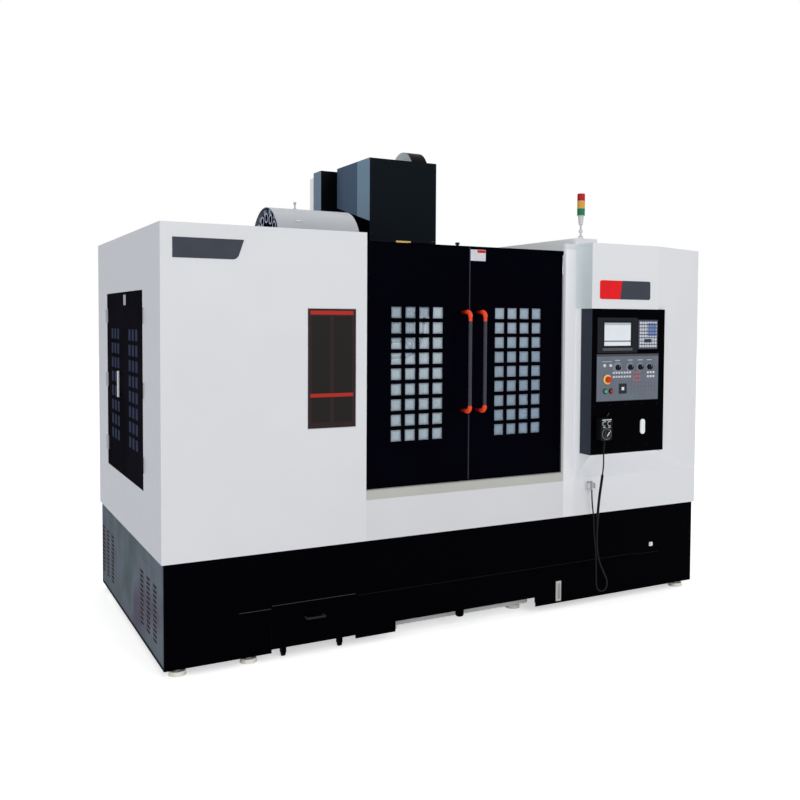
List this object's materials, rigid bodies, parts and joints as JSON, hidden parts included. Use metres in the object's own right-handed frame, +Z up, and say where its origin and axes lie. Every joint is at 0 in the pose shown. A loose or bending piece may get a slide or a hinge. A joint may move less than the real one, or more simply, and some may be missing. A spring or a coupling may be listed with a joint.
{
  "type": "cnc machining center",
  "caption": "Vertical machining centre in a white sheet enclosure with sliding windowed doors, slanted control console, hand pendant, tool magazine, T-slot table and rear cabinet.",
  "frame": {"origin": "bottom centre of the machine's bounding box, on the floor", "axes": "+X to the right along the front, +Y from the front to the back, +Z up"},
  "size_m": [3.728, 2.5922, 3.128],
  "materials": {
    "white_paint": "satin powder coat",
    "black_paint": "satin powder coat",
    "base_black": "satin powder coat",
    "beige_paint": "satin powder coat",
    "casting_paint": "painted casting",
    "machined_iron": "ground and scraped",
    "machined_steel": "ground",
    "galvanised": "plain sheet",
    "window_sheet": "clear",
    "handle_grey": "smooth",
    "console_black": "satin",
    "display_black": "smooth bezel",
    "key_grey": "membrane keys",
    "panel_grey": "printed foil",
    "red_plastic": "smooth",
    "green_plastic": "smooth",
    "knob_black": "moulded",
    "pendant_grey": "moulded",
    "dial_metal": "turned",
    "lead_black": "sheath",
    "socket_grey": "moulded",
    "lamp_clear": "smooth",
    "lamp_lens": "fluted lenses",
    "motor_black": "satin",
    "cabinet_paint": "textured powder coat",
    "magazine_white": "satin powder coat",
    "magazine_blue": "tool pots on an iron disc",
    "foot_cream": "painted pads"
  },
  "bodies": {
    "machine": {"bed": "casting_paint", "levelling_feet": "foot_cream", "column": "casting_paint", "z_motor": "motor_black", "chain_guard": "magazine_white", "left_front_panel": "white_paint", "right_front_panel": "white_paint", "lower_front_panel": "white_paint", "front_sill": "beige_paint", "door_header": "black_paint", "left_side_wall": "white_paint", "right_side_wall": "white_paint", "rear_panels": "white_paint", "base_front": "base_black", "base_skirts": "base_black", "chip_pans": "galvanised", "console_shroud": "white_paint", "console_case": "console_black", "display_unit": "display_black", "keypad": "key_grey", "operator_panel": "panel_grey", "pendant": "pendant_grey", "pendant_lead": "lead_black", "cord_sockets": "socket_grey", "cable_duct": "white_paint", "beacon_stem": "lamp_clear", "beacon_lenses": "lamp_lens", "magazine_frame": "casting_paint", "magazine_cover": "magazine_white", "coolant_tank": "base_black", "electrical_cabinet": "cabinet_paint"},
    "left_door": {"door_left": "black_paint", "door_left_glass": "window_sheet", "door_left_handle": "handle_grey"},
    "right_door": {"door_right": "black_paint", "door_right_glass": "window_sheet", "door_right_handle": "handle_grey"},
    "side_door_a": {"side_door_front": "black_paint"},
    "side_door_b": {"side_door_rear": "black_paint"},
    "saddle": {"saddle": "casting_paint"},
    "table": {"table": "machined_iron"},
    "head": {"head": "casting_paint", "head_cover": "black_paint", "spindle_motor": "motor_black"},
    "spindle": {"spindle": "machined_steel"},
    "magazine": {"tool_magazine": "magazine_blue", "change_pot": "magazine_blue"},
    "changer_shaft": {"changer_shaft": "machined_steel"},
    "changer_arm": {"changer_arm": "machined_steel"},
    "chip_drawer": {"chip_drawer": "base_black"},
    "console_door": {"console_door": "console_black"},
    "cabinet_door": {"cabinet_door": "cabinet_paint"},
    "emergency_stop": {"emergency_stop": "red_plastic"},
    "cycle_start": {"cycle_start": "green_plastic"},
    "cycle_stop": {"cycle_stop": "red_plastic"},
    "knob_mode": {"knob_mode": "knob_black"},
    "knob_feed": {"knob_feed": "knob_black"},
    "knob_rapid": {"knob_rapid": "knob_black"},
    "knob_spindle": {"knob_spindle": "knob_black"},
    "pendant_dial": {"pendant_dial": "dial_metal"}
  },
  "joints": [
    {"name": "left_door_slide", "type": "slide", "parent": "machine", "child": "left_door", "axis": [-1, 0, 0], "range_m": [0, 0.6]},
    {"name": "right_door_slide", "type": "slide", "parent": "machine", "child": "right_door", "axis": [1, 0, 0], "range_m": [0, 0.6]},
    {"name": "side_door_a_hinge", "type": "hinge", "parent": "machine", "child": "side_door_a", "pos_m": [-1.8553, -0.62085, 1.4735], "axis": [0, 0, 1], "range_deg": [0, 110]},
    {"name": "side_door_b_hinge", "type": "hinge", "parent": "machine", "child": "side_door_b", "pos_m": [-1.8553, 0.49015, 1.4735], "axis": [0, 0, -1], "range_deg": [0, 110]},
    {"name": "y_axis", "type": "slide", "parent": "machine", "child": "saddle", "axis": [0, 1, 0], "range_m": [-0.3, 0.3]},
    {"name": "x_axis", "type": "slide", "parent": "saddle", "child": "table", "axis": [1, 0, 0], "range_m": [-0.65, 0.65]},
    {"name": "z_axis", "type": "slide", "parent": "machine", "child": "head", "axis": [0, 0, 1], "range_m": [-0.7, 0]},
    {"name": "spindle_spin", "type": "hinge", "parent": "head", "child": "spindle", "pos_m": [0, -0.29985, 1.96], "axis": [0, 0, 1], "continuous": true},
    {"name": "magazine_turn", "type": "hinge", "parent": "machine", "child": "magazine", "pos_m": [-0.99, -0.29985, 2.297], "axis": [1, 0, 0], "continuous": true},
    {"name": "changer_stroke", "type": "slide", "parent": "machine", "child": "changer_shaft", "axis": [0, 0, 1], "range_m": [-0.11, 0]},
    {"name": "changer_swing", "type": "hinge", "parent": "changer_shaft", "child": "changer_arm", "pos_m": [-0.48, -0.29985, 1.881], "axis": [0, 0, 1], "range_deg": [0, 180]},
    {"name": "chip_drawer_slide", "type": "slide", "parent": "machine", "child": "chip_drawer", "axis": [0, -1, 0], "range_m": [0, 0.6]},
    {"name": "console_door_hinge", "type": "hinge", "parent": "machine", "child": "console_door", "pos_m": [0.956, -1.22515, 1.175], "axis": [0, 0, -1], "range_deg": [0, 95]},
    {"name": "cabinet_door_hinge", "type": "hinge", "parent": "machine", "child": "cabinet_door", "pos_m": [1.7053, 1.26015, 1.25], "axis": [0, 0, -1], "range_deg": [0, 120]},
    {"name": "emergency_stop_push", "type": "slide", "parent": "machine", "child": "emergency_stop", "axis": [0, 1, 0], "range_m": [0, 0.006]},
    {"name": "cycle_start_push", "type": "slide", "parent": "machine", "child": "cycle_start", "axis": [0, 1, 0], "range_m": [0, 0.004], "stiffness_N_per_m": 400},
    {"name": "cycle_stop_push", "type": "slide", "parent": "machine", "child": "cycle_stop", "axis": [0, 1, 0], "range_m": [0, 0.004], "stiffness_N_per_m": 400},
    {"name": "mode_turn", "type": "hinge", "parent": "machine", "child": "knob_mode", "pos_m": [0.992, -1.24085, 1.577], "axis": [0, -1, 0], "range_deg": [-120, 120]},
    {"name": "feed_turn", "type": "hinge", "parent": "machine", "child": "knob_feed", "pos_m": [1.096, -1.24085, 1.577], "axis": [0, -1, 0], "range_deg": [-135, 135]},
    {"name": "rapid_turn", "type": "hinge", "parent": "machine", "child": "knob_rapid", "pos_m": [1.18, -1.24085, 1.577], "axis": [0, -1, 0], "range_deg": [-60, 60]},
    {"name": "spindle_speed_turn", "type": "hinge", "parent": "machine", "child": "knob_spindle", "pos_m": [1.257, -1.24085, 1.577], "axis": [0, -1, 0], "range_deg": [-135, 135]},
    {"name": "pendant_dial_turn", "type": "hinge", "parent": "machine", "child": "pendant_dial", "pos_m": [0.8755, -1.27585, 1.16], "axis": [0, -1, 0], "continuous": true}
  ]
}
